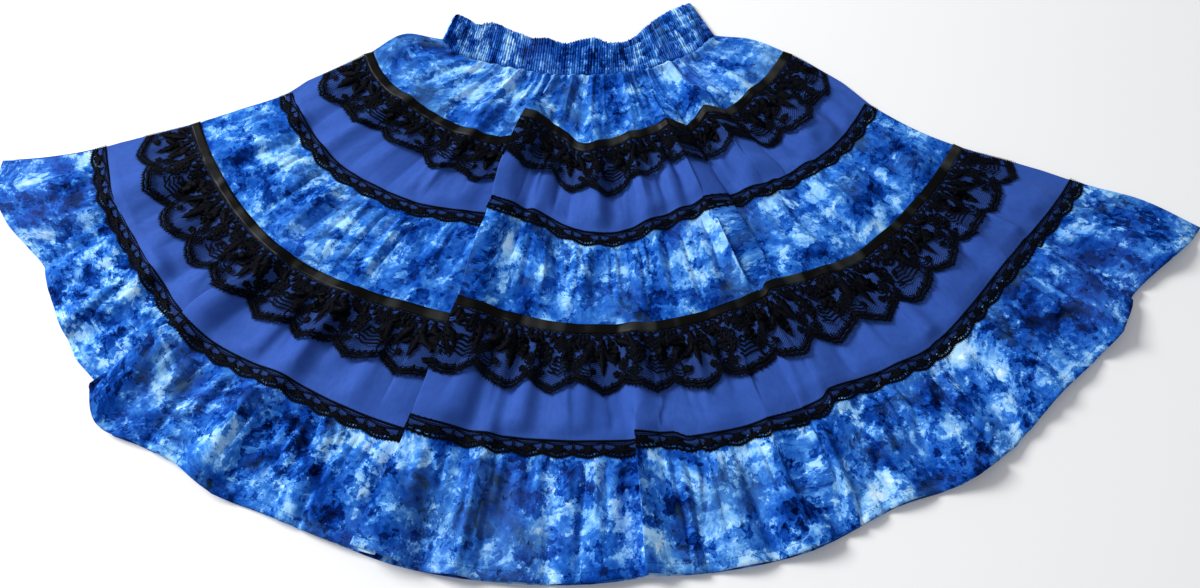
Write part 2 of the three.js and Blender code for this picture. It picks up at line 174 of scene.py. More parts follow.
def columnTable(names, rows):
    return {name: np.array(column, float) for name, column in zip(names.split(), zip(*rows))}


# a row for each ray: how far from the apex it meets each line but the hem
rays = columnTable("angle " + " ".join(lineNames[:-1]), [
    (-68, 173, 243, 308, 331, 422, 482, 510),
    (-60, 169, 242, 308, 331, 423, 492, 516),
    (-49, 151, 230, 289, 330, 424, 494, 518),
    (-41, 139, 224, 280, 322, 422, 491, 524),
    (-31, 129, 216, 279, 310, 411, 481, 511),
    (-22.5, 124, 203, 263, 292, 398, 469, 508),
    (-20, 122, 179, 245, 281, 386, 460, 499),
    (-11, 117, 184, 247, 281, 385, 459, 496),
    (-4, 115, 199, 261, 293, 388, 457, 494),
    (3, 114, 191, 261, 295, 388, 456, 493),
    (11, 114, 185, 243, 284, 387, 462, 495),
    (21, 116, 183, 236, 278, 381, 457, 493),
    (24, 117, 194, 247, 281, 377, 457, 488),
    (33, 119, 186, 239, 287, 389, 463, 497),
    (36, 120, 196, 257, 290, 391, 464, 496),
    (48, 127, 199, 269, 298, 390, 456, 487),
    (62, 131, 202, 262, 298, 390, 457, 499),
])

# the hem runs in and out more often than the seams do
hemCourse = columnTable("angle hem", [
    (-68, 600), (-66, 608), (-63, 613), (-60, 609), (-57.5, 601), (-55.5, 596), (-53, 601), (-49.5, 606),
    (-47, 612), (-43, 614), (-40.7, 633), (-37.5, 624), (-34, 617), (-30, 620), (-26, 614), (-20, 612),
    (-15, 614), (-7, 611), (0, 607), (3.5, 603), (8, 605), (16, 605), (19.5, 600), (23.5, 596), (29, 604),
    (34, 602), (40, 594), (45, 596), (49, 598), (51.5, 590), (54, 593), (57, 602), (60, 614), (62, 619),
])

# a row for each place where a folded side changes direction
sides = columnTable("at left right", [
    (0, -67, 61.5), (0.45, -73, 66), (1, -69.6, 65.4), (2, -67.2, 62.7), (3, -65.8, 60), (3.5, -65.9, 59.2),
    (4, -66, 59.5), (5, -66.7, 61), (6, -67, 61.6), (6.5, -67.8, 62.5), (7, -69, 62),
])

# a row for each large fold: its angle, the lines it lies between, its height in mm, and the
# degrees it takes on the left and on the right
folds = [
    (-20.5, 0.4, 8, 13, 1.9, 7), (21.8, 0.5, 3.8, 8, 5.5, 1.9), (22.5, 3.8, 6.4, 6, 1.9, 5),
    (34, 0.3, 2.8, 8, 6, 1.9), (-1.5, 0.3, 2.6, 5, 5, 5), (-33, 0.2, 2.6, 5, 4, 2.5),
    (47, 0.2, 2.4, 5, 3, 4), (-52, 0.6, 3.8, 5, 4, 3), (-12.5, 1.5, 3.8, 5, 2.5, 4),
    (8.5, 0.6, 3.7, 4, 3, 3), (15, 1.6, 3.9, 4, 2.5, 3), (29, 2.4, 4, 5, 2.5, 4),
    (41, 2.4, 4, 5, 4, 2.5), (-60, 2.4, 8, 6, 5, 3.5), (4.0, 3.8, 8, 8, 2, 2),
    (-11.5, 3.8, 8, 6, 4, 2), (17, 3.8, 8, 6, 3.5, 2), (-31.5, 3.8, 8, 8, 3.5, 2.5),
    (30.5, 3.8, 8, 6, 2.5, 4), (39.5, 3.8, 8, 5, 3, 3), (48.8, 3.8, 8, 8, 4, 2),
    (57.5, 3.8, 8, 5, 2.5, 3), (-42, 3.8, 8, 9, 3, 2.3), (-49.5, 5, 8, 7, 3.5, 2),
]
foldFade, pleatFade = 0.4, 0.35     # share of a tier over which each begins and ends

# a row for each pleat that laps over: its angle, the lines it lies between, the side that lies
# on top (1 right over left), the angles of the rays on either side, and its lap in degrees
pleats = [
    (-21.3, 0.3, 9, 1, -22.5, -20, 2.6),
    (22.4, 0.35, 4.0, -1, 21, 24, 2.6),
    (34.6, 0.2, 3.0, -1, 33, 36, 2.6),
    (3.4, 5.0, 9, 1, None, None, 1.1),
    (7.7, 5.0, 6.6, -1, None, None, 1.0),
    (-43.2, 4.6, 9, 1, None, None, 1.5),
    (49.9, 4.4, 9, -1, None, None, 1.5),
    (17.9, 4.4, 6.9, -1, None, None, 1.3),
]
pleatWidth = 0.8
# the long left pleat runs steeper than its ray: how far aside, in degrees, it is at these lines
drift = {"pleat": -21.3, "reach": 9.0, "lines": (0, 1, 3, 4, 6, 7), "aside": (0, -1.3, 1.9, 3.9, 4.4, 4.1)}


def curve(table, key, at, value):
    # smooth curve through one column of a table
    x, y = table[at], table[key]
    slopes = np.gradient(y)
    slopes[1:-1] = (y[2:] - y[:-2]) / (x[2:] - x[:-2])
    slopes[0] = (y[1] - y[0]) / (x[1] - x[0])
    slopes[-1] = (y[-1] - y[-2]) / (x[-1] - x[-2])
    low = np.clip(np.searchsorted(x, value) - 1, 0, len(x) - 2)
    span = x[low + 1] - x[low]
    t = np.clip((value - x[low]) / span, 0, 1)
    rise = y[low + 1] - y[low]
    early = slopes[low] * span - rise
    late = rise - slopes[low + 1] * span
    return y[low] + t * rise + t * (1 - t) * ((1 - t) * early + t * late)


def smooth(value, low, high):
    t = np.clip((value - low) / (high - low), 0, 1)
    return t * t * (3 - 2 * t)


def levelRadius(angle, at):
    total = 0.0
    for index, name in enumerate(lineNames):
        table = hemCourse if name == "hem" else rays
        radius = curve(table, name, "angle", angle)
        if name == boxPleat["line"]:
            # a box pleat carries the seam up between its two edges
            inside = smooth(angle - boxPleat["from"], -0.35, 0.35) - smooth(angle - boxPleat["to"], -0.35, 0.35)
            radius = radius - boxPleat["up"] * inside
        total = total + np.clip(1 - np.abs(at - index), 0, 1) * radius
    return total


def rowAngle(angle, at):
    reach = skirtPlan["sideReach"]
    nearLeft = smooth(leftEdge + reach - angle, 0, reach)
    nearRight = smooth(angle - rightEdge + reach, 0, reach)
    left = curve(sides, "left", "at", at) - leftEdge
    right = curve(sides, "right", "at", at) - rightEdge
    return angle + left * nearLeft + right * nearRight


def foldHeight(angle, at):
    height = 0.0
    for foldAngle, start, end, tall, left, right in folds:
        along = np.clip(np.minimum(at - start, end - at) / foldFade, 0, 1)
        aside = angle - foldAngle
        reach = np.where(aside < 0, left, right)
        height = height + tall * along * (1 - smooth(np.abs(aside) / reach, 0, 1))
    return height


def gather(share, waves):
    turn = 2 * np.pi * share
    uneven = np.sin(turn * waves + 2 * np.sin(turn * 3.3 + waves))
    slower = np.sin(turn * waves * 0.37 + 1.7 * waves)
    return np.clip(0.5 + 0.36 * uneven + 0.22 * slower, 0, 1)


def onRay(angle, at):
    # the ray that a point takes its folds and steps from, beside the pleat that runs aside
    aside = np.interp(at, drift["lines"], drift["aside"])
    return angle - aside * (1 - smooth(np.abs(angle - drift["pleat"] - aside) / drift["reach"], 0, 1))


def stepped(angle):
    # within a lapped pleat the lines step from one ray to the next inside the lap
    for middle, start, end, over, before, after, lap in pleats:
        if before is not None:
            inside = (angle > before) & (angle < after)
            part = smooth((angle - middle) / pleatWidth, -1.1, 1.1)
            angle = np.where(inside, before + (after - before) * part, angle)
    return angle


def awayFromSides(share, reach):
    # 0 at the two folded sides and 1 past their reach, so that folds die away there
    return smooth(np.minimum(share, 1 - share), 0, reach)


def fanPlace(angle, at, add, pleated=True, lapMore=1.0):
    # plan position of a point of the cloth, with the laps of its pleats; a trim's laps are a little
    # longer, so that no cloth shows past its folded edge
    shift = 0.0
    ray = onRay(angle, at)
    for middle, start, end, over, before, after, lap in (pleats if pleated else []):
        along = np.clip(np.minimum(at - start, end - at) / pleatFade, 0, 1)
        t = (ray - middle) / pleatWidth
        shift = shift - over * lap * lapMore * along * t * np.exp(-t * t / 2)
    radius = levelRadius(stepped(ray) if pleated else angle, at) + add
    turned = np.radians(rowAngle(angle, at) + shift)
    return skirtPlan["apex"][0] + radius * np.sin(turned), skirtPlan["apex"][1] - radius * np.cos(turned), radius


def backPlace(at, add):
    # the same for the plain back, which has no pleats
    return fanPlace(np.linspace(leftEdge, rightEdge, skirtPlan["backColumns"] + 1)[None, :], at, add, pleated=False)


def pointGrid(x, y, z):
    return np.stack(np.broadcast_arrays(x, y, z), -1)


def baseHeight(angle, at):
    # large folds and the small puckers of the seams, the same for cloth and for trims
    share = (angle - leftEdge) / fanAngle
    calm = awayFromSides(share, skirtPlan["sideCalm"])
    ripple = skirtPlan["seamRipple"] * gather(share, skirtPlan["seamPuckers"])
    return skirtPlan["outerFace"] + calm * (foldHeight(onRay(angle, at), at) + ripple), calm


def columnAngles(count):
    # columns across the front, closer together at the pleats
    fine = np.linspace(leftEdge, rightEdge, 4001)
    places = [row[0] for row in pleats] + [drift["pleat"] + max(drift["aside"])]
    density = 1 + sum(2.2 * np.exp(-((fine - place) / 1.3) ** 2) for place in places)
    total = np.concatenate(([0], np.cumsum((density[1:] + density[:-1]) / 2)))
    return np.interp(np.linspace(0, total[-1], count + 1), total, fine)


def meshObject(name, points, faces, uv, material):
    # points in mm, faces as rows of vertex numbers, uv in metres at each face corner
    mesh = bpy.data.meshes.new(name)
    mesh.from_pydata((points * 0.001).tolist(), [], faces.tolist() if isinstance(faces, np.ndarray) else faces)
    if uv is not None:
        layer = mesh.uv_layers.new(name="UVMap")
        layer.data.foreach_set("uv", np.ascontiguousarray(uv, dtype=np.float32).ravel())
    mesh.materials.append(material)
    mesh.shade_smooth()
    item = bpy.data.objects.new(name, mesh)
    bpy.context.scene.collection.objects.link(item)
    return item


def loopMesh(name, grid, uv, material):
    # a closed loop of columns, rows from top to bottom; uv has one column more than the grid
    rows, columns = grid.shape[:2]
    r, c = np.meshgrid(np.arange(rows - 1), np.arange(columns), indexing="ij")
    n = (c + 1) % columns
    faces = np.stack([r * columns + c, (r + 1) * columns + c, (r + 1) * columns + n, r * columns + n], -1)
    corners = np.stack([uv[r, c], uv[r + 1, c], uv[r + 1, c + 1], uv[r, c + 1]], 2)
    return meshObject(name, grid.reshape(-1, 3), faces.reshape(-1, 4), corners.reshape(-1, 2), material)


def tubeGrid(front, back, swell):
    # front rows run left to right, back rows too; the folded sides are rounded between them
    def side(edge, neighbour, under):
        outward = edge[:, :2] - neighbour[:, :2]
        outward /= np.linalg.norm(outward, axis=1)[:, None]
        arcs = []
        for turn in np.radians([36, 72, 108, 144]):
            height = under[:, 2] + (edge[:, 2] - under[:, 2]) * (1 + np.cos(turn)) / 2
            place = edge[:, :2] * (1 + np.cos(turn)) / 2 + under[:, :2] * (1 - np.cos(turn)) / 2
            arcs.append(np.column_stack([place + outward * swell * np.sin(turn), height]))
        return np.stack(arcs, 1)

    right = side(front[:, -1], front[:, -2], back[:, -1])
    left = side(front[:, 0], front[:, 1], back[:, 0])
    return np.concatenate([front, right, back[:, ::-1], left[:, ::-1]], 1)


def loopLengths(row):
    # length along a closed row, in mm, with the start again at the end
    steps = np.linalg.norm(np.roll(row, -1, 0) - row, axis=1)
    return np.concatenate(([0], np.cumsum(steps)))


def tubeUv(grid, depths, top=0.0):
    # flat cloth: across from the lowest row, down from the depth of each row
    across = loopLengths(grid[-1])
    u, v = np.meshgrid(across, depths)
    return np.stack([u, top - v], -1) * 0.001, across[-1]


def thicken(item, thickness):
    solid = item.modifiers.new("clothThickness", "SOLIDIFY")
    solid.thickness = thickness
    solid.offset = -1.0
    return item


def dress(item, nodeName):
    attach(item, "root")
    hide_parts(nodeName)


# printed cotton lawn: washes of blue dye over each other, with ragged and dark-rimmed edges
printPlan = {
    "stops": [(0.10, "000726"), (0.25, "011F62"), (0.38, "0A3F9B"), (0.49, "2160BC"), (0.58, "3B7ED3"),
              (0.66, "70AEEE"), (0.75, "9CD0FB"), (0.86, "B6DEFE"), (0.97, "DDF0FF")],
    "threads": 1100.0,       # drawn at 0.9 mm, three times the real thread spacing, so that it shows
    # a row for each swirl of the print, coarse and fine: scale, detail, roughness and metres
    "swirls": [(24.0, 3.0, 0.5, 0.016), (190.0, 4.0, 0.65, 0.0045)],
    # pools about 60 mm across, clouds and grain: scale, detail, roughness and share of the tone
    "fields": [(17.0, 7.0, 0.58, 1.08), (58.0, 9.0, 0.7, 0.78), (230.0, 4.0, 0.7, 0.28)],
    "darker": -0.622,
    # a row for each wash: its scale, the level it starts at, how soft its edge is, how much it
    # lightens (or darkens) the dye, and how dark its rim is
    "washes": [(19.0, 0.50, 0.09, 0.18, 0.0), (29.0, 0.54, 0.018, 0.14, 0.06), (41.0, 0.55, 0.012, -0.15, 0.08),
               (55.0, 0.58, 0.02, 0.14, 0.07), (71.0, 0.60, 0.012, -0.14, 0.06), (92.0, 0.62, 0.012, 0.14, 0.05)],
    "casts": [(8.0, "4468BE", 0.26), (13.0, "4A7590", 0.36)],
    "fleck": (0.385, 0.42, 0.75, "0A1740"),
    "stitch": {"apart": 0.0016, "dash": 0.0011, "thread": 0.0005, "strength": 0.48, "colour": "0A2052"},
    # painted shade along the waistband's lines of elastic: the range it shows in, its strength and its colour
    "elastic": (0.0016, 0.0005, 0.42, "041747"),
}


def setStops(ramp, stops):
    band = ramp.color_ramp
    while len(band.elements) < len(stops):
        band.elements.new(0.5)
    for element, (place, colour) in zip(band.elements, stops):
        element.position = place
        element.color = linear(colour)
    return ramp


def weave(add, uv, threads, strength):
    # plain weave: two sets of threads, over and under
    fine = add("Mapping", {"Vector": uv, "Scale": (threads,) * 3})
    checks = add("TexChecker", {"Vector": fine, "Scale": 1.0})
    return add("Bump", {"Height": checks.outputs["Fac"], "Strength": strength, "Distance": 0.0003})


def printedCotton(name, shift, contrast, lift=0.0, hem=None, elastic=None):
    plan = printPlan
    material, add, shader = newMaterial(name, {"Roughness": 0.78, "IOR": 1.47, "Specular IOR Level": 0.015})
    uv = add("UVMap", uv_map="UVMap")
    places = [add("Mapping", {"Vector": uv, "Location": (shift, shift * 0.7, shift * 0.3)})]
    for scale, detail, rough, amount in plan["swirls"]:
        noise = add("TexNoise", {"Vector": places[-1], "Scale": scale, "Detail": detail, "Roughness": rough})
        middle = add("VectorMath", {0: noise.outputs["Color"], 1: (0.5,) * 3}, operation="SUBTRACT")
        places.append(add("VectorMath", {0: middle, 1: (amount,) * 3, 2: places[-1]}, operation="MULTIPLY_ADD"))
    place, swirl, ragged = places

    tone, fields = plan["darker"], []
    for where, (scale, detail, rough, amount) in zip((swirl, ragged, ragged), plan["fields"]):
        fields.append(add("TexNoise", {"Vector": where, "Scale": scale, "Detail": detail, "Roughness": rough}))
        tone = add("Math", {0: fields[-1], 1: amount, 2: tone}, operation="MULTIPLY_ADD")
    for index, (scale, level, edge, amount, rim) in enumerate(plan["washes"]):
        moved = add("VectorMath", {0: ragged, 1: (0.37 * index, 0.61 * index, 0.0)}, operation="ADD")
        wash = add("TexNoise", {"Vector": moved, "Scale": scale, "Detail": 9.0, "Roughness": 0.62})
        # the wash, then its rim, which darkens at the edge and ends a little inside it
        for low, high, part in ((0, edge, amount), (-0.006, 0.006, -rim), (0.012, 0.04, rim)):
            if part:
                mask = add("MapRange", {"Value": wash, "From Min": level + low, "From Max": level + high})
                tone = add("Math", {0: mask, 1: part, 2: tone}, operation="MULTIPLY_ADD")
    # lift lightens the whole print; on the waistband it is painted light, making up for the shade of the ribs
    tone = add("Math", {0: tone, 1: contrast, 2: 0.5 + lift - 0.5 * contrast}, operation="MULTIPLY_ADD")
    colour = setStops(add("ValToRGB", {"Fac": tone}), plan["stops"])

    # laid over the dye, each from a field, the range that it shows in, its strength and its colour:
    # violet and grey-green casts in some pools, and small dark flecks where dye gathered
    overlays = []
    for index, (scale, cast, most) in enumerate(plan["casts"]):
        moved = add("VectorMath", {0: place, 1: (0.9 * index, 0.2, 0.0)}, operation="ADD")
        field = add("TexNoise", {"Vector": moved, "Scale": scale, "Detail": 4.0, "Roughness": 0.6})
        overlays.append((field, 0.54, 0.68, most, cast))
    fleck = add("TexNoise", {"Vector": ragged, "Scale": 135.0, "Detail": 3.0, "Roughness": 0.6})
    overlays.append((add("Math", {0: fields[0], 1: -0.55, 2: fleck}, operation="MULTIPLY_ADD"), *plan["fleck"]))
    if hem:
        # a row of stitches along the hem: short dark dashes, 3 mm apart
        row = plan["stitch"]
        apart = add("SeparateXYZ", {"Vector": uv})
        onLine = add("Math", {0: apart.outputs["Y"], 1: -hem, 2: row["thread"]}, operation="COMPARE")
        fromDash = add("Math", {0: apart.outputs["X"], 1: row["apart"]}, operation="PINGPONG")
        dash = add("Math", {0: fromDash, 1: row["dash"]}, operation="LESS_THAN")
        stitch = add("Math", {0: onLine, 1: dash}, operation="MULTIPLY")
        overlays.append((stitch, 0.0, 1.0, row["strength"], row["colour"]))
    if elastic:
        # painted shade: a dark line along each line of elastic, standing for the shade in the grooves between the
        # puffs
        down = add("Math", {0: add("SeparateXYZ", {"Vector": swirl}).outputs["Y"], 1: elastic[0]},
                   operation="SUBTRACT")
        fromLine = add("Math", {0: down, 1: elastic[1] / 2}, operation="PINGPONG")
        overlays.append((fromLine, *plan["elastic"]))
    for value, low, high, most, over in overlays:
        mask = add("MapRange", {"Value": value, "From Min": low, "From Max": high, "To Max": most})
        colour = add("MixRGB", {"Fac": mask, "Color1": colour, "Color2": linear(over)})
    setInputs(shader, {"Base Color": colour, "Normal": weave(add, uv, plan["threads"], 0.12)})
    return material


# plain polycotton broadcloth, piece dyed: an even soft blue with a faint slub
plainPlan = {"stops": [(0.1, "2D4F9F"), (0.42, "3559AB")], "slubScale": 240.0, "cloudScale": 14.0, "threads": 1100.0}


def plainCotton(name):
    material, add, shader = newMaterial(name, {"Roughness": 0.7, "IOR": 1.5, "Sheen Weight": 0.02,
                                               "Sheen Roughness": 0.4, "Specular IOR Level": 0.06})
    uv = add("UVMap", uv_map="UVMap")
    drawn = add("Mapping", {"Vector": uv, "Scale": (1.0, 0.4, 1.0)})
    slub = add("TexNoise", {"Vector": drawn, "Scale": plainPlan["slubScale"], "Detail": 3.0})
    cloud = add("TexNoise", {"Vector": uv, "Scale": plainPlan["cloudScale"], "Detail": 3.0})
    both = add("Math", {0: slub, 1: cloud}, operation="MULTIPLY")
    setInputs(shader, {"Base Color": setStops(add("ValToRGB", {"Fac": both}), plainPlan["stops"]),
                       "Normal": weave(add, uv, plainPlan["threads"], 0.15)})
    return material


# polyester satin ribbon: near black, with a soft broad gloss along the floats; painted sheen
# lightens it to grey in patches 20 to 40 mm long, and it is black between
satinPlan = {"stops": [(0.50, "020202"), (0.54, "202120"), (0.60, "2B2C2A"), (0.68, "121312")],
             "floatScale": 1800.0, "patchScale": 24.0}


def satinRibbon(name):
    material, add, shader = newMaterial(name, {"Roughness": 0.42, "IOR": 1.55, "Anisotropic": 0.3,
                                               "Specular IOR Level": 0.07})
    uv = add("UVMap", uv_map="UVMap")
    along = add("Mapping", {"Vector": uv, "Scale": (0.2, 1.0, 1.0)})
    floats = add("TexNoise", {"Vector": along, "Scale": satinPlan["floatScale"], "Detail": 2.0})
    # painted sheen: patches of lighter grey laid into the base colour, stretched along the ribbon
    bend = add("Mapping", {"Vector": uv, "Scale": (1.0, 0.15, 1.0)})
    patch = add("TexNoise", {"Vector": bend, "Scale": satinPlan["patchScale"], "Detail": 1.5, "Roughness": 0.5})
    setInputs(shader, {"Base Color": setStops(add("ValToRGB", {"Fac": patch}), satinPlan["stops"]),
                       "Normal": add("Bump", {"Height": floats, "Strength": 0.1, "Distance": 0.0002})})
    return material


# nylon lace net: two sets of fine black threads; drawn 1.7 mm apart, so that they show
netPlan = {"stops": [(0.3, "05070C"), (0.7, "0B0F18")], "threads": 590.0, "sets": [(0.9, 0.13), (-0.75, 0.06)]}


def laceNet(name):
    material, add, shader = newMaterial(name, {"Roughness": 0.7, "IOR": 1.53, "Specular IOR Level": 0.06})
    uv = add("UVMap", uv_map="UVMap")
    shares = []
    for turn, width in netPlan["sets"]:
        turned = add("Mapping", {"Vector": uv, "Rotation": (0.0, 0.0, turn), "Scale": (netPlan["threads"],) * 3})
        across = add("SeparateXYZ", {"Vector": turned}).outputs["X"]
        fold = add("Math", {0: across, 1: 0.5}, operation="PINGPONG")
        shares.append(add("Math", {0: fold, 1: width}, operation="LESS_THAN"))
    shade = add("TexNoise", {"Vector": uv, "Scale": 300.0, "Detail": 2.0})
    setInputs(shader, {"Base Color": setStops(add("ValToRGB", {"Fac": shade}), netPlan["stops"]),
                       "Alpha": add("Math", {0: shares[0], 1: shares[1]}, operation="MAXIMUM")})
    return material


# lace motifs: close-worked black nylon and rayon thread, matt with tiny glints on the cord
threadPlan = {"stops": [(0.35, "010204"), (0.7, "070B15")], "grainScale": 900.0}


def laceThread(name):
    material, add, shader = newMaterial(name, {"Roughness": 0.6, "IOR": 1.53, "Specular IOR Level": 0.035})
    place = add("TexCoord").outputs["Object"]
    grain = add("TexNoise", {"Vector": place, "Scale": threadPlan["grainScale"], "Detail": 2.0})
    setInputs(shader, {"Base Color": setStops(add("ValToRGB", {"Fac": grain}), threadPlan["stops"]),
                       "Normal": add("Bump", {"Height": grain, "Strength": 0.5, "Distance": 0.0004})})
    return material


# tiers: gathered tubes of cloth, each sewn under the ribbon or lace above it
tierPlan = {
    "tier_one": {"slot": "printed_cotton", "from": (0, 0.15), "to": (1, 4.6), "columns": 640, "rows": 30,
                 "waves": 31, "swell": [(0, 3.4), (0.04, 6.4), (0.2, 7.4), (0.5, 6), (0.8, 3.6), (0.925, 0), (1, 0)],
                 "shift": 0.31, "contrast": 0.84,
                 "gathers": 30, "gatherHeight": (3.6, 7.0), "gatherWidth": (2.6, 4.8), "folds": 11,
                 "foldHeight": (2.0, 4.4), "foldWidth": (4.5, 8), "clear": (0.5, 5.5), "lifted": (False, True)},
    "tier_two": {"slot": "plain_blue_cotton", "from": (1, 4.9), "to": (3, 7.8), "columns": 520, "rows": 26,
                 "waves": 19, "swell": [(1, 0), (1.3, 0.6), (1.9, 4.4), (2.45, 4), (2.68, 1.8), (2.76, 0), (3, 0)],
                 "gathers": 16, "gatherHeight": (1.2, 2.6), "gatherWidth": (2.5, 4.0), "folds": 20,
                 "foldHeight": (2.4, 5.2), "foldWidth": (4, 8.0), "clear": (14, 8.3), "lifted": (True, True)},
    "tier_three": {"slot": "printed_cotton", "from": (3, 8.2), "to": (4, 4.6), "columns": 920, "rows": 32,
                   "waves": 31, "swell": [(3, 0), (3.1, 0.5), (3.22, 6.6), (3.65, 5.4), (3.83, 3), (3.925, 0), (4, 0)],
                   "shift": 1.77, "contrast": 0.86,
                   "gathers": 52, "gatherHeight": (4.4, 8.4), "gatherWidth": (2.0, 3.8), "folds": 22,
                   "foldHeight": (2.0, 4.4), "foldWidth": (3.5, 7.0), "clear": (7.0, 5.5), "lifted": (True, True)},
    "tier_four": {"slot": "plain_blue_cotton", "from": (4, 4.9), "to": (6, 7.8), "columns": 720, "rows": 28,
                  "waves": 21, "swell": [(4, 0), (4.3, 0.6), (4.9, 5), (5.45, 5), (5.7, 2.2), (5.78, 0), (6, 0)],
                  "gathers": 26, "gatherHeight": (1.2, 2.8), "gatherWidth": (2.5, 4.5), "folds": 34,
                  "foldHeight": (2.6, 5.8), "foldWidth": (4.5, 9.0), "clear": (14, 8.3), "lifted": (True, True)},
    "tier_five": {"slot": "printed_cotton", "from": (6, 8.2), "to": (7, 0), "columns": 1060, "rows": 34,
                  "waves": 33, "swell": [(6, 0), (6.08, 0.5), (6.19, 7.4), (6.6, 6.4), (7, 5)],
                  "shift": 3.13, "contrast": 1.06, "hem": 7,
                  "gathers": 76, "gatherHeight": (4.6, 9.0), "gatherWidth": (2.0, 3.8), "folds": 34,
                  "foldHeight": (2.0, 4.6), "foldWidth": (4.0, 8.5), "clear": (7.0, 0), "lifted": (True, False)},
}

# a row for each listed crease, valleys negative: its angle at the top, where it starts and
# its length in mm, its width and height in mm, its slant in degrees and its skew
handCreases = {
    "tier_one": [
        (-8.5, 0, 70, 7, -6.5, -3, -0.4), (-2.5, 0, 76, 5.5, -6.5, 0.5, 0.2), (4.5, 0, 70, 5, -5.5, 1, -0.5),
        (12, 1, 60, 6, 3.4, 3, -0.5), (17, 0, 60, 5, -6, 5, 0.2), (-27, 1, 66, 6, 3.4, -2, 0.4),
        (-19, 0, 64, 7, -6.5, -2, 0.3), (-33, 0, 60, 6, -5.5, -2, 0.4), (-45, 0, 60, 6, -5, -1, 0.3),
        (28, 0, 64, 6, -6, 3, 0.3), (-14, 1, 56, 5, 3.4, -2, 0.3), (39, 0, 60, 5, -5.5, 2, 0.2),
        (48, 0, 56, 5, -4.5, 2, 0.3),
    ],
    "tier_two": [
        (-36.5, 8, 86, 4, -3.2, 0, 0.3), (-33, 10, 84, 5, 3, 0.5, -0.5), (-27.5, 30, 50, 4, -2.6, 1, 0.3),
        (-15, 20, 76, 5, -3.4, 1.5, 0.4), (-9, 26, 60, 4, -3, 0, 0.4), (7, 14, 80, 4.5, -3, 0.4, 0.3),
        (12.3, 18, 78, 4, -3.4, 0.6, 0.4), (16, 14, 76, 4.5, 3, 0.5, -0.5), (44, 24, 60, 5, -2.8, 2, 0.3),
    ],
    "tier_three": [
        (-54, 8, 70, 4, -3.2, 0, 0.3), (-49, 8, 60, 4, 3, 0.5, -0.5), (-12.5, 8, 76, 4, -3.6, 0, 0.4),
        (-8, 8, 80, 4.5, -3.4, 3, 0.4), (-3, 8, 80, 4.5, -3.4, 3, 0.4), (3.3, 8, 78, 4.5, -3.8, 2.2, 0.4),
        (8.5, 8, 80, 4, -3.6, 0, 0.4), (14.5, 8, 80, 4, -3.2, 0.5, 0.3), (18, 8, 66, 4, 3.2, 0, -0.5),
        (28.5, 8, 70, 4, -3.2, 0.6, 0.4), (42, 8, 80, 5, -3.8, -3, -0.4), (47.7, 8, 60, 4, -3, 0.4, 0.3),
    ],
    "tier_four": [
        (-24.5, 10, 80, 5, -3, 0.2, 0.4), (-11, 8, 96, 5, -4.2, 0.2, 0.4), (-4, 26, 60, 5, -3.2, 0.4, 0.3),
        (1.5, 20, 72, 4.5, -3.4, 0.4, 0.4), (9, 22, 70, 5, -3, 0.3, 0.3), (16.8, 8, 96, 4.5, -4.4, 0.3, 0.5),
        (22, 10, 92, 4.5, -4.2, -0.2, 0.4), (30.5, 10, 90, 5, -4.2, 0.4, 0.4), (39.5, 14, 80, 5, -3, 0.3, 0.3),
        (47, 12, 84, 5, -3.2, 0.3, 0.3), (58, 16, 76, 5, -3, 0.2, 0.3), (-34, 18, 70, 4.5, -3.6, 1, 0.4),
        (-52, 20, 70, 5, -3, 0.6, 0.4), (-46, 30, 56, 4, -3, 1.4, 0.4),
    ],
    "tier_five": [
        (7.7, 8, 190, 5, -9, 0.6, 0.4), (16.3, 8, 190, 4.5, -9, 4, 0.4), (-15.3, 8, 190, 5, -9, 3.6, 0.4),
        (-30.8, 8, 190, 6, -11, 5.6, 0.4), (-44, 20, 180, 5, -8, 4.8, 0.4), (-50, 12, 150, 5, -6, 3.2, 0.4),
        (-57, 8, 130, 5, -5, 3, 0.4), (22.5, 8, 150, 4, -7.5, -4, 0.4), (24.7, 8, 150, 3.5, -6.5, -4, 0.3),
        (29.8, 8, 150, 4, -7.5, -5, 0.3), (32.4, 8, 190, 4.5, -7, 0, 0.3), (27.4, 7, 60, 2.4, 4, 0.3, -0.4),
        (35.2, 7, 60, 2.6, -5, 0.4, 0.3), (38.2, 7, 110, 3.4, -6, 1.4, 0.3), (40.4, 7, 90, 3, 4, 1.2, -0.4),
        (57.5, 8, 110, 4, -5, 0.8, 0.4), (-38, 8, 170, 5, -6, 2.6, 0.4), (-24, 10, 180, 5, -6.5, 2.4, -0.3),
        (44.5, 8, 170, 5, -6.5, 1.8, 0.4), (-4.5, 10, 170, 5, -6, 1, 0.4), (0.6, 7, 90, 3, -5.5, -0.3, 0.3),
        (12.4, 8, 130, 5, -5.5, 0.8, 0.4), (52.5, 14, 150, 4.5, -6, 1.8, 0.4), (-62, 10, 90, 5, -4, 1, 0.3),
        (-9.5, 8, 120, 4, -6, 0.6, 0.4),
    ],
}


# seeded creases, short valleys gathered in at the seam and longer folds with one side steep: a row
# for each kind, with its way up or down, its lengths in mm and its greatest slant in degrees
creaseKinds = (("gather", -1, (30, 46, 66, 90), 0.7), ("fold", 1, (60, 85, 110, 130), 1.7),
               ("fold", -1, (50, 75, 100, 120), 1.7))
creaseRise = 6.0         # mm over which a crease begins below its seam
deepest = (-0.6, -0.9)   # how far a valley goes below the plain front, flat and where the cloth swells


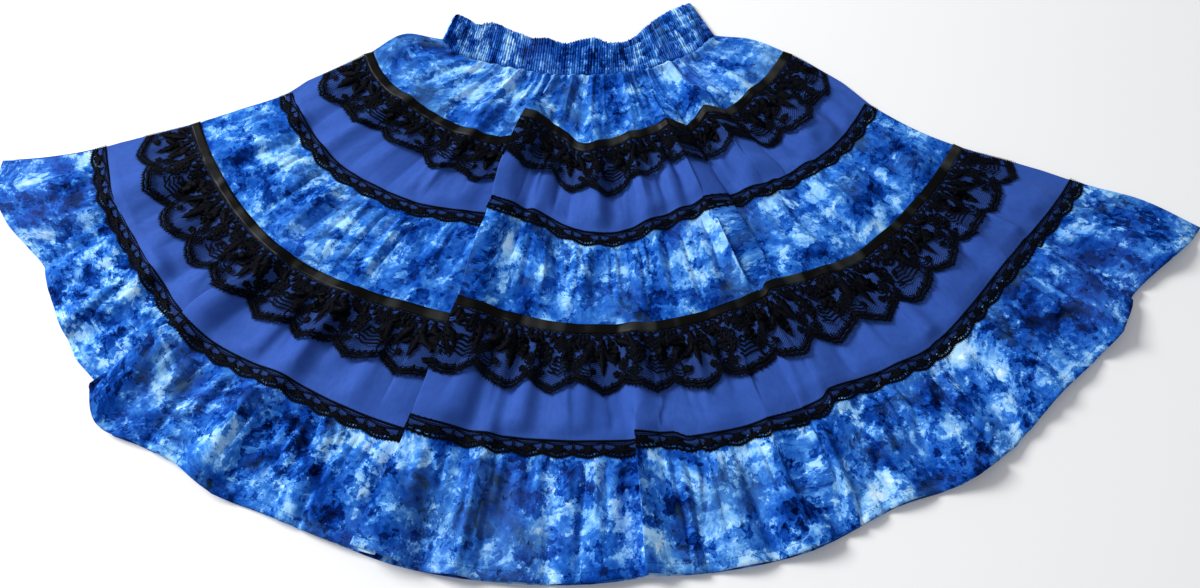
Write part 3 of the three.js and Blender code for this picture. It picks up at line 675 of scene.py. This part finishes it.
def seededCreases(plan):
    rows = []
    for kind, sign, lengths, slant in creaseKinds:
        count = plan[kind + "s"]
        spread = (np.arange(count) + rng.uniform(0.05, 0.95, count)) / count
        low, high = plan[kind + "Height"]
        narrow, wide = plan[kind + "Width"]
        middle = leftEdge + fanAngle * spread
        start, end, least = skirtPlan["flatLeft"]
        strength = least + (1 - least) * smooth(middle, start, end)
        rows += zip(middle, plan["clear"][0] + rng.uniform(0, 3, count),
                    rng.choice(lengths, count) * rng.uniform(0.8, 1.2, count), rng.uniform(narrow, wide, count),
                    sign * strength * rng.uniform(low, high, count), rng.uniform(-slant, slant, count),
                    rng.uniform(-0.65, 0.2, count))
    return rows


def creaseHeight(angle, radius, down, creases):
    # ridges are round and valleys come to a sharp line
    height = np.zeros(np.broadcast(angle, radius).shape)
    for middle, start, length, width, tall, slant, skew in creases:
        along = (down - start) / length
        aside = np.radians(angle - middle - slant * along) * radius
        reach = width * (0.8 + 0.9 * np.clip(along, 0, 1)) * (1 + skew * np.sign(aside))
        envelope = smooth(along, 0, creaseRise / length) * (1 - smooth(along, 0.5, 1))
        height += tall * envelope * np.exp(-np.abs(aside / reach) ** (2 if tall > 0 else 0.9))
    return height


def clothHeight(name, angle, at, radius):
    # height of a tier's outer face
    plan = tierPlan[name]
    share = (angle - leftEdge) / fanAngle
    base, calm = baseHeight(angle, at)
    levels, swells = zip(*plan["swell"])
    swell = np.interp(at, levels, swells) * (0.4 + 0.6 * gather(share, plan["waves"]))
    (startAt, startAdd), (endAt, endAdd) = plan["from"], plan["to"]
    down = radius - levelRadius(stepped(onRay(angle, startAt)), float(startAt)) - startAdd
    relief = creaseHeight(angle, radius, down, plan["creases"])
    if plan["lifted"][1]:
        footRadius = levelRadius(stepped(onRay(angle, endAt)), float(endAt)) + endAdd
        relief = relief * smooth(footRadius - radius, plan["clear"][1], 20)
    return base + calm * np.maximum(swell + relief, deepest[0] + deepest[1] * np.minimum(swell, 1))


def buildTier(name):
    plan = tierPlan[name]
    plan["creases"] = handCreases[name] + seededCreases(plan)
    (startAt, startAdd), (endAt, endAdd) = plan["from"], plan["to"]
    t = (np.linspace(0, 1, plan["rows"] + 1) ** 1.15)[:, None]
    at, add = startAt + (endAt - startAt) * t, startAdd + (endAdd - startAdd) * t

    angle = columnAngles(plan["columns"])[None, :]
    x, y, radius = fanPlace(angle, at, add)
    front = pointGrid(x, y, clothHeight(name, angle, at, radius))

    # the back is off the floor where a trim lies under it, which is all over on a plain tier
    x, y, radius = backPlace(at, add)
    lift = 1.0
    if plan["slot"] == "printed_cotton":
        ends = zip(plan["lifted"], (radius - radius[:1], radius[-1:] - radius))
        lift = np.max([(1 - smooth(away, *skirtPlan["backReach"])) * lifted for lifted, away in ends], 0)
    grid = tubeGrid(front, pointGrid(x, y, lift * skirtPlan["backLift"]), skirtPlan["sideRound"])
    depth = float(np.mean(radius[-1] - radius[0]))
    uv, across = tubeUv(grid, depth * t[:, 0])
    if plan["slot"] == "printed_cotton":
        hem = (depth - plan["hem"]) * 0.001 if "hem" in plan else None
        material = printedCotton("printedCotton_" + name, plan["shift"], plan["contrast"], 0.0, hem)
    else:
        material = plainCotton("plainCotton_" + name)
    item = thicken(loopMesh(name + "_cloth", grid, uv, material), skirtPlan["clothThickness"] * 0.001)
    dress(item, name)
    return item


for name in tierPlan:
    buildTier(name)
print("tiers sewn")


# waistband: the same print drawn up on rows of elastic thread into fine ribs
bandPlan = {
    "ribs": 122,
    "elasticRows": 5,        # puffs between the lines of elastic
    "depth": 46.0,
    "flatDepth": 0.047,
    "sideHeight": 3.8,
    "ribHeight": 1.3,
    "puff": 2.6,
    "rows": 34,
    "perRib": 6,
    "seamWave": 0.7,
    "shift": 5.21,
    "contrast": 1.0,
    "lift": 0.035,          # painted light: the band's print is drawn lighter to make up for the shade of its ribs
}
bandSections = columnTable("share depth lean", [
    (0, 34, 17), (0.06, 44, 15), (0.12, 44.5, 12.5), (0.18, 53, 10), (0.25, 48, 8), (0.33, 42, 6),
    (0.385, 46.5, 4.5), (0.445, 41.5, 3), (0.54, 49, 2.2), (0.605, 39.5, -1), (0.67, 40, -6), (0.77, 51, -16),
    (0.88, 59, -22), (1, 50, -27),
])


def buildBand(plan):
    alongX, alongY, radius = fanPlace(np.linspace(leftEdge, rightEdge, 801), 0.0, -0.15, pleated=False)
    lengths = np.concatenate(([0], np.cumsum(np.hypot(np.diff(alongX), np.diff(alongY)))))

    def bandPlace(share, down):
        seamX = np.interp(share * lengths[-1], lengths, alongX)
        seamY = np.interp(share * lengths[-1], lengths, alongY)
        deep = curve(bandSections, "depth", "share", share) * (1 - down)
        lean = np.radians(curve(bandSections, "lean", "share", share))
        return seamX + deep * np.sin(lean), seamY + deep * np.cos(lean)

    count = plan["ribs"]
    widths = rng.uniform(0.7, 1.3, count)
    edges = np.concatenate(([0], np.cumsum(widths))) / widths.sum()
    within = np.arange(plan["perRib"]) / plan["perRib"]
    share = np.concatenate([(edges[:-1, None] + np.diff(edges)[:, None] * within).ravel(), [1.0]])
    part = np.concatenate([np.tile(within, count), [0.0]])
    tall = np.repeat(rng.uniform(0.6, 1.15, count), plan["perRib"])
    tall = np.concatenate([tall, [tall[-1]]])
    rib = tall * (1 - np.abs(2 * part - 1) ** 2.4)

    down = np.linspace(0, 1, plan["rows"] + 1)[:, None]
    share, rib = share[None, :], rib[None, :]
    # each line of elastic wanders a little
    wander = 0.012 * np.sin(share * 41 + 1.3) + 0.008 * np.sin(share * 93)
    puffed = np.abs(np.sin(np.pi * np.clip(down + wander, 0, 1) * plan["elasticRows"])) ** 0.4
    frill = 1 - smooth(down, 0, 0.14)
    x, y = bandPlace(share, down)
    lean = np.radians(curve(bandSections, "lean", "share", share))
    wave = frill * (0.3 * np.sin(share * 2 * np.pi * count / 2.7 + 2 * np.sin(share * 30)) + 0.4 * rib)
    x, y = x + wave * np.sin(lean), y + wave * np.cos(lean)
    height = skirtPlan["outerFace"] + 0.2 + plan["puff"] * puffed * (0.5 + 0.5 * rib)
    height = height + rib * plan["ribHeight"] * (0.45 + 0.55 * puffed)
    height = height + plan["seamWave"] * np.sin(share * 23 + down * 2)
    calm = awayFromSides(share, 0.02)
    height = plan["sideHeight"] + (height - plan["sideHeight"]) * (0.35 + 0.65 * calm)

    back = bandPlace(np.linspace(0, 1, skirtPlan["backColumns"] + 1)[None, :], down)
    grid = tubeGrid(pointGrid(x, y, height), pointGrid(*back, 0.0), skirtPlan["sideRound"])
    across = loopLengths(grid[plan["rows"] // 2])
    u, v = np.meshgrid(across, down[:, 0] * plan["depth"])
    uv = np.stack([u * 1.3, -v], -1) * 0.001
    # offset and spacing of the lines of painted shade along the elastic
    lines = (plan["shift"] * 0.7, plan["depth"] / plan["elasticRows"] * 0.001)
    cloth = printedCotton("printedCotton_waistband", plan["shift"], plan["contrast"], plan["lift"], None, lines)
    item = thicken(loopMesh("waistband_cloth", grid, uv, cloth), skirtPlan["clothThickness"] * 0.001)
    dress(item, "waistband")
    return item


buildBand(bandPlan)
print("waistband gathered")


# ribbons and laces lie on the cloth of the tiers
def trimPlace(angle, at, add, off, seam):
    # a trim's height is that of the cloth under each of its rows
    x, y, radius = fanPlace(angle, at, add, lapMore=skirtPlan["trimLap"])
    base, calm = baseHeight(angle, at + (add - seam) / skirtPlan["lineGap"])
    return x, y, base + off, radius, calm


ribbonPlan = {"columns": 640, "rows": 5, "off": 0.5, "thickness": 0.25, "waves": 0.24}


def trimTube(name, rows, frontPoints, backRows, material, thickness):
    # a closed loop of trim: front rows given as points, the back under the skirt
    x, y, radius = backPlace(*backRows)
    grid = tubeGrid(frontPoints, pointGrid(x, y, 0.0), skirtPlan["trimSideRound"])
    depth = float(np.mean(radius[-1] - radius[0]))
    uv, across = tubeUv(grid, rows * depth, depth)
    item = loopMesh(name, grid, uv, material)
    if thickness:
        thicken(item, thickness * 0.001)
    return item, across, depth


def buildRibbon(name, lineAt):
    plan = ribbonPlan
    t = np.linspace(0, 1, plan["rows"])
    angle = columnAngles(plan["columns"])[None, :]
    add = (t * skirtPlan["ribbonWidth"])[:, None]
    x, y, z, radius, calm = trimPlace(angle, float(lineAt), add, plan["off"], skirtPlan["ribbonSeam"])
    share = (angle - leftEdge) / fanAngle
    along = np.radians(angle) * radius
    ripple = np.sin(along / 3.4 + 1.7 * np.sin(along / 17) + lineAt)
    ripple = ripple * np.sin(along / 29 + 1.1 * np.sin(along / 41)) ** 2 + 0.8 * (gather(share, 29) - 0.5)
    z = z + calm * plan["waves"] * np.maximum(ripple, -0.5)
    item, across, depth = trimTube(name + "_satin", t, pointGrid(x, y, z), (float(lineAt), add),
                                   satinRibbon("satinRibbon_" + name), plan["thickness"])
    dress(item, name)
    # a sheet is stated no narrower than 10 mm
    return item


for name, lineName in (("ribbon_one", "ribbonOne"), ("ribbon_two", "ribbonTwo")):
    buildRibbon(name, line[lineName])
print("ribbons laid")


# laces: net whose foot is cut in scallops, gathered in a frill where it is wide
laces = {
    "wide_lace_one": {"head": 1, "tier": "tier_two", "waves": 12, "scallops": 14, "columns": 700, "rows": 16},
    "wide_lace_two": {"head": 4, "tier": "tier_four", "waves": 19, "scallops": 24, "columns": 1100, "rows": 16},
    "narrow_lace_one": {"head": 3, "tier": None, "waves": 29, "scallops": 27, "columns": 520, "rows": 6},
    "narrow_lace_two": {"head": 6, "tier": None, "waves": 29, "scallops": 46, "columns": 760, "rows": 6},
}
lacePlan = {"scallopShare": 0.2, "stand": 4.0, "bunch": 0.34, "lap": 0.5, "off": 0.5, "footOff": 0.5,
            "sideFade": 0.05, "narrowWaves": 47, "narrowStand": 0.4, "motifOff": 0.15, "overhang": 0.6}


def laceSurface(name, share, t):
    # a point of the lace: share along its length, t from its head to its foot
    plan = laces[name]
    wide = plan["tier"] is not None
    if wide:
        # each flute stands round, laps over the valley beside it and draws the valley in
        turn = 2 * np.pi * share
        phase = turn * plan["waves"] + 2 * np.sin(turn * 3.3 + plan["waves"])
        fade = awayFromSides(share, lacePlan["sideFade"])
        draw = lacePlan["bunch"] * np.cos(phase) + lacePlan["lap"] * np.sin(2 * phase) / 2
        angle = leftEdge + fanAngle * (share - fade * t * draw / (2 * np.pi * plan["waves"]))
        at = plan["head"] + t
        add = skirtPlan["ribbonWidth"] * (1 - t)
        x, y, radius = fanPlace(angle, at, add, lapMore=skirtPlan["trimLap"])
        under = at + (1 - t) * (skirtPlan["ribbonWidth"] - skirtPlan["ribbonSeam"]) / skirtPlan["lineGap"]
        z = clothHeight(plan["tier"], angle, under, radius) + lacePlan["off"] + lacePlan["footOff"] * t
        z = z + fade * lacePlan["stand"] * t ** 1.2 * gather(share, plan["waves"])
    else:
        angle = leftEdge + fanAngle * share
        add = skirtPlan["narrowWidth"] * t
        x, y, z, radius, calm = trimPlace(angle, plan["head"] + 0 * t, add, lacePlan["off"], skirtPlan["laceSeam"])
        z = z + lacePlan["narrowStand"] * calm * gather(share, lacePlan["narrowWaves"])
    return pointGrid(x, y, z)


def scallop(share, count):
    # 0 at a scallop's blunt tip and 1 between two
    part = np.abs(np.asarray(share) * count % 1 - 0.5) * 2
    return 0.5 * part + 0.5 * (1 - np.cos(np.pi / 2 * part))


def buildLace(name):
    plan = laces[name]
    wide = plan["tier"] is not None
    t = np.linspace(0, 1, plan["rows"] + 1)
    share = (columnAngles(plan["columns"])[None, :] - leftEdge) / fanAngle
    cut = 1 - lacePlan["scallopShare"] * scallop(share, plan["scallops"])
    front = laceSurface(name, share, t[:, None] * cut)
    if wide:
        add = (skirtPlan["ribbonWidth"] * (1 - t))[:, None]
        backRows = (plan["head"] + t[:, None], add)
    else:
        backRows = (plan["head"] + 0 * t[:, None], (skirtPlan["narrowWidth"] * t)[:, None])
    item, across, depth = trimTube(name + "_net", t, front, backRows, laceNet("laceNet_" + name), 0)
    dress(item, name)
    return item


# motifs worked on the net: every petal, leaf, cord and bar is a narrow raised strip
def strip(points, widths, rise=0.35, closed=False):
    # three rows of points: left edge, raised spine, right edge
    points = np.asarray(points, float)
    ahead = np.roll(points, -1, 0) if closed else np.vstack([points[1:], 2 * points[-1:] - points[-2:-1]])
    behind = np.roll(points, 1, 0) if closed else np.vstack([2 * points[:1] - points[1:2], points[:-1]])
    along = ahead - behind
    along /= np.linalg.norm(along, axis=1)[:, None]
    aside = np.column_stack([-along[:, 1], along[:, 0]]) * (np.broadcast_to(widths, len(points)) / 2)[:, None]
    flat, spine = np.zeros(len(points)), np.full(len(points), rise)
    verts = np.concatenate([np.column_stack([points + aside, flat]), np.column_stack([points, spine]),
                            np.column_stack([points - aside, flat])])
    count = len(points)
    start = np.arange(count if closed else count - 1)
    end = (start + 1) % count
    faces = np.concatenate([np.column_stack([start + low * count, end + low * count, end + high * count,
                                             start + high * count]) for low, high in ((0, 1), (1, 2), (2, 0))])
    return verts, faces


def petal(x, y, turn, length, width):
    t = np.linspace(0, 1, 7)
    way = np.array([math.sin(turn), math.cos(turn)])
    points = np.array([x, y]) + way * (t * length)[:, None]
    return strip(points, 0.15 + width * np.sin(np.pi * t ** 0.85) ** 0.7)


def leaf(x, y, turn, length, width, bend=0.0, teeth=4):
    # serrated on both sides, as worked leaves are
    t = np.linspace(0, 1, 2 * teeth + 2)
    way, aside = np.array([math.sin(turn), math.cos(turn)]), np.array([math.cos(turn), -math.sin(turn)])
    points = np.array([x, y]) + way * (t * length)[:, None] + aside * (bend * np.sin(np.pi * t))[:, None]
    notch = np.where(np.arange(len(t)) % 2 == 1, 1.0, 0.72)
    return strip(points, 0.15 + width * np.sin(np.pi * t ** 0.75) ** 0.8 * notch, 0.2)


def ring(x, y, radius, width, steps):
    turn = np.linspace(0, 2 * np.pi, steps, endpoint=False)
    points = np.column_stack([x + radius * np.cos(turn), y + radius * np.sin(turn)])
    return strip(points, width, closed=True)


def flower(x, y, size, petals, turn=0.0, holed=False):
    shapes = []
    for index in range(petals):
        way = turn + 2 * math.pi * index / petals
        if holed:
            reach = size * 0.62
            shapes.append(ring(x + reach * math.sin(way), y + reach * math.cos(way), size * 0.27, size * 0.3, 6))
        else:
            wide = 2.3 * size * math.sin(math.pi / petals)
            shapes.append(petal(x, y, way, size, wide * 0.8))
    shapes.append(ring(x, y, size * 0.22, size * 0.2, 7))
    return shapes


def shell(x, y, inner, outer, bars, spread, turn, width):
    # bars in arcs, like the ribs of a scallop shell
    shapes = []
    for index in range(bars):
        radius = inner + (outer - inner) * index / (bars - 1)
        way = turn + np.linspace(-spread, spread, 8)
        wavy = radius * (1 + 0.04 * np.cos(way * 14))
        shapes.append(strip(np.column_stack([x + wavy * np.sin(way), y + wavy * np.cos(way)]), width))
    return shapes


def cord(x, y, width, rise):
    return [strip(np.column_stack([x, y]), width, rise)]


def teeth(places, edge, low, high, widths, rise):
    # short bars across an edge, from low to high mm inside it
    return [strip([(x, edge(x, low)), (x, edge(x, high))], widths, rise) for x in places]


def stem(start, end, bulge, width):
    t = np.linspace(0, 1, 8)[:, None]
    start, end = np.array(start, float), np.array(end, float)
    way = (end - start) / np.linalg.norm(end - start)
    points = start + (end - start) * t + np.array([-way[1], way[0]]) * bulge * np.sin(np.pi * t)
    return [strip(points, width)]


def joined(shapes):
    verts, faces, total = [], [], 0
    for points, quads in shapes:
        verts.append(points)
        faces.append(quads + total)
        total += len(points)
    return np.concatenate(verts), np.concatenate(faces)


# the scalloped edge has cords, a row for each: how far inside it, its width and its points
widePattern = {"pitch": 46.0, "depth": 58.0, "cords": ((5.4, 3.0, 85), (1.9, 2.0, 113), (8.2, 0.7, 57)),
               "picotStep": 1.9, "toothStep": 3.1, "ripple": 0.9, "rippleStep": 6.57}

# a row for each large leaf of the wide lace, two scallops wide: its foot, its turn in radians,
# its length and its width in mm
wideLeaves = [
    (15, 6, -0.42, 27, 12), (23, 4, 0.04, 36, 13), (31, 6, 0.4, 26, 12), (9, 7, -1.1, 17, 10), (38, 6, 1.1, 17, 10),
    (22, 14, -0.75, 19, 9), (25, 14, 0.8, 19, 9), (2, 2, -0.2, 13, 7), (51, 4, 0.3, 14, 7),
    (66, 2, -0.4, 11, 7), (81, 5, 0.75, 17, 11), (82, 8, 0.12, 28, 12), (84, 12, -0.5, 19, 9), (62, 27, -1.1, 10, 5),
]
# a row for each small flower: its middle, its size, its petals and whether they are open
wideFlowers = [
    (57, 20, 10.0, 6, True), (57, 20, 4.4, 5, False), (55, 38, 5.6, 5, True), (74, 11, 8.0, 6, True),
    (74, 11, 3.4, 5, False), (2, 27, 5.6, 6, True), (45, 29, 6.2, 6, True), (90, 32, 4.8, 5, True),
    (12, 36, 3.6, 5, False), (37, 37, 3.6, 5, False),
]

# a row for each shell: its middle, its inner and outer radius, its bars, their half angle, its turn
# and a bar's width; and for each stem, its ends and its bulge
wideShells = [(75, 13, 10, 25, 5, 0.56, 0.05, 1.7), (8, 30, 6, 12, 3, 0.6, -0.5, 1.3),
              (40, 30, 6, 12, 3, 0.6, 0.5, 1.3)]
wideStems = [((57, 30), (55, 36), 1), ((62, 24), (70, 36), 2), ((45, 22), (50, 40), 3), ((90, 26), (84, 42), 3),
             ((2, 20), (10, 42), -3), ((37, 34), (45, 44), -2)]


def wideEdge(x, back):
    plan = widePattern
    whole = plan["depth"] * (1 - lacePlan["scallopShare"] * scallop(np.asarray(x) / plan["pitch"], 1))
    return whole - back - plan["ripple"] * (1 - np.abs(np.sin(np.pi * np.asarray(x) / plan["rippleStep"])))


def wideLaceRepeat(plan):
    # two scallops: a mass of hanging leaves, then open flowers over a shell of curved bars
    end = 2 * plan["pitch"]
    shapes = []
    for back, width, count in plan["cords"]:
        x = np.linspace(0, end, count)
        shapes += cord(x, wideEdge(x, back), width, 0.4)
    shapes += teeth(np.arange(plan["picotStep"] / 2, end, plan["picotStep"]), wideEdge, 2.0, -0.9, [1.3, 0.3], 0.3)
    for middle in np.arange(plan["toothStep"] / 2, end, plan["toothStep"]):
        shapes += teeth([middle], wideEdge, 6.0, rng.uniform(8.4, 10.6), [2.4, 0.3], 0.3)
        shapes.append(strip([(middle + 0.7, wideEdge(middle, 4.5)), (middle, wideEdge(middle, 2.2))], 0.7, 0.3))

    for x, y, turn, length, width in wideLeaves:
        shapes.append(leaf(x, y, turn, length, width, rng.uniform(-1.5, 1.5), max(3, round(length / 6))))
    for x, y, size, petals, isOpen in wideFlowers:
        shapes += flower(x, y, size, petals, rng.uniform(0, 1), isOpen)
    for row in wideShells:
        shapes += shell(*row)
    for start, finish, bulge in wideStems:
        shapes += stem(start, finish, bulge, 1.4)

    # small leaves fill the ground below the ribbon, and a few hang lower
    for low, high, count, size in ((0, 2, 16, 8.5), (6, 14, 6, 8), (16, 27, 2, 8)):
        for x in (np.arange(count) + rng.uniform(0.1, 0.9, count)) * end / count:
            shapes.append(leaf(x, rng.uniform(low, high), rng.uniform(-1.1, 1.1), size * rng.uniform(0.75, 1.2),
                               size * rng.uniform(0.42, 0.6), 0.5, 3))
    for level, width in ((1.0, 1.6), (5.2, 0.9)):
        x = np.linspace(0, end, 41)
        shapes += cord(x, level + 0.8 * np.sin(x * 0.888 + level), width, 0.3)
    return joined(shapes)


narrowPattern = {"pitch": 24.5, "depth": 16.0, "picotStep": 1.75}


def narrowLaceRepeat(plan):
    # a toothed cord above, a band of net, then a flower in each scallop over a scalloped cord
    pitch, depth = plan["pitch"], plan["depth"]
    middle = pitch / 2

    def foot(x, back):
        return depth * (1 - lacePlan["scallopShare"] * scallop(np.asarray(x) / pitch, 1)) - back

    shapes = []
    x = np.linspace(0, pitch, 21)
    shapes += cord(x, np.ones_like(x), 1.7, 0.4)
    shapes += cord(x, foot(x, 1.3), 1.8, 0.4)
    picots = np.arange(plan["picotStep"] / 2, pitch, plan["picotStep"])
    shapes += teeth(picots, lambda x, back: back, 1.0, -0.9, [1.3, 0.3], 0.4)
    shapes += teeth(picots, foot, 1.2, -0.8, [1.4, 0.3], 0.4)
    shapes += teeth(np.arange(1.2, pitch, 2.45), foot, 2.0, 4.6, 0.9, 0.3)
    # the flower, wider than tall, and the leaves that join it to the next
    for turn, length, width in ((1.5, 8.0, 4.8), (-1.5, 8.0, 4.8), (0.0, 3.4, 4.0), (3.14, 3.9, 4.2), (0.85, 5.2, 3.6),
                                (-0.85, 5.2, 3.6), (2.35, 5.4, 3.6), (-2.35, 5.4, 3.6)):
        shapes.append(leaf(middle, 8.7, turn, length, width, 0.3, 3))
    # swags hang in the net between the bars
    for drop, width in ((2.7, 0.8), (1.3, 0.6)):
        shapes += cord(x, 2.0 + drop * np.sin(np.pi * x / pitch) ** 0.7, width, 0.3)
    for side, x0 in ((1, 0.0), (-1, pitch)):
        shapes.append(leaf(x0, 9.2, 1.3 * side, 5.6, 3.8, 0.3, 3))
        shapes.append(leaf(x0, 9.0, 0.5 * side, 3.4, 2.6, 0.2, 3))
        shapes += stem((x0 + 1.2 * side, 10), (x0 + 5.5 * side, 12.6), 0.6 * side, 1.1)
        shapes.append(strip([(x0 + 0.8 * side, 1.6), (x0 + 0.5 * side, 11.0)], [0.7, 1.4], 0.3))
    return joined(shapes)


def buildMotifs(name, repeat, pattern, repeatWidth):
    # the repeat is laid end to end on the lace
    verts, faces = repeat
    total = laces[name]["scallops"] * pattern["pitch"]
    allVerts, allFaces = [], []
    for index in range(math.ceil(total / repeatWidth)):
        moved = verts + (index * repeatWidth, 0, 0)
        inside = np.abs(moved[:, 0] - total / 2) <= total / 2 + lacePlan["overhang"]
        allVerts.append(moved)
        allFaces.append(faces[inside[faces].all(axis=1)] + index * len(verts))
    allVerts, allFaces = np.concatenate(allVerts), np.concatenate(allFaces)
    share = np.clip(allVerts[:, 0] / total, 0.0005, 0.9995)
    place = laceSurface(name, share, np.clip(allVerts[:, 1] / pattern["depth"], -0.02, 1.06))
    place[:, 2] += lacePlan["motifOff"] + allVerts[:, 2]
    item = meshObject(name + "_motifs", place, allFaces, None, laceThread("laceThread_" + name))
    dress(item, name)
    return item


for name, plan in laces.items():
    if plan["tier"]:
        motifs = buildMotifs(name, wideLaceRepeat(widePattern), widePattern, 2 * widePattern["pitch"])
    else:
        motifs = buildMotifs(name, narrowLaceRepeat(narrowPattern), narrowPattern, narrowPattern["pitch"])
    buildLace(name)
print("lace laid")
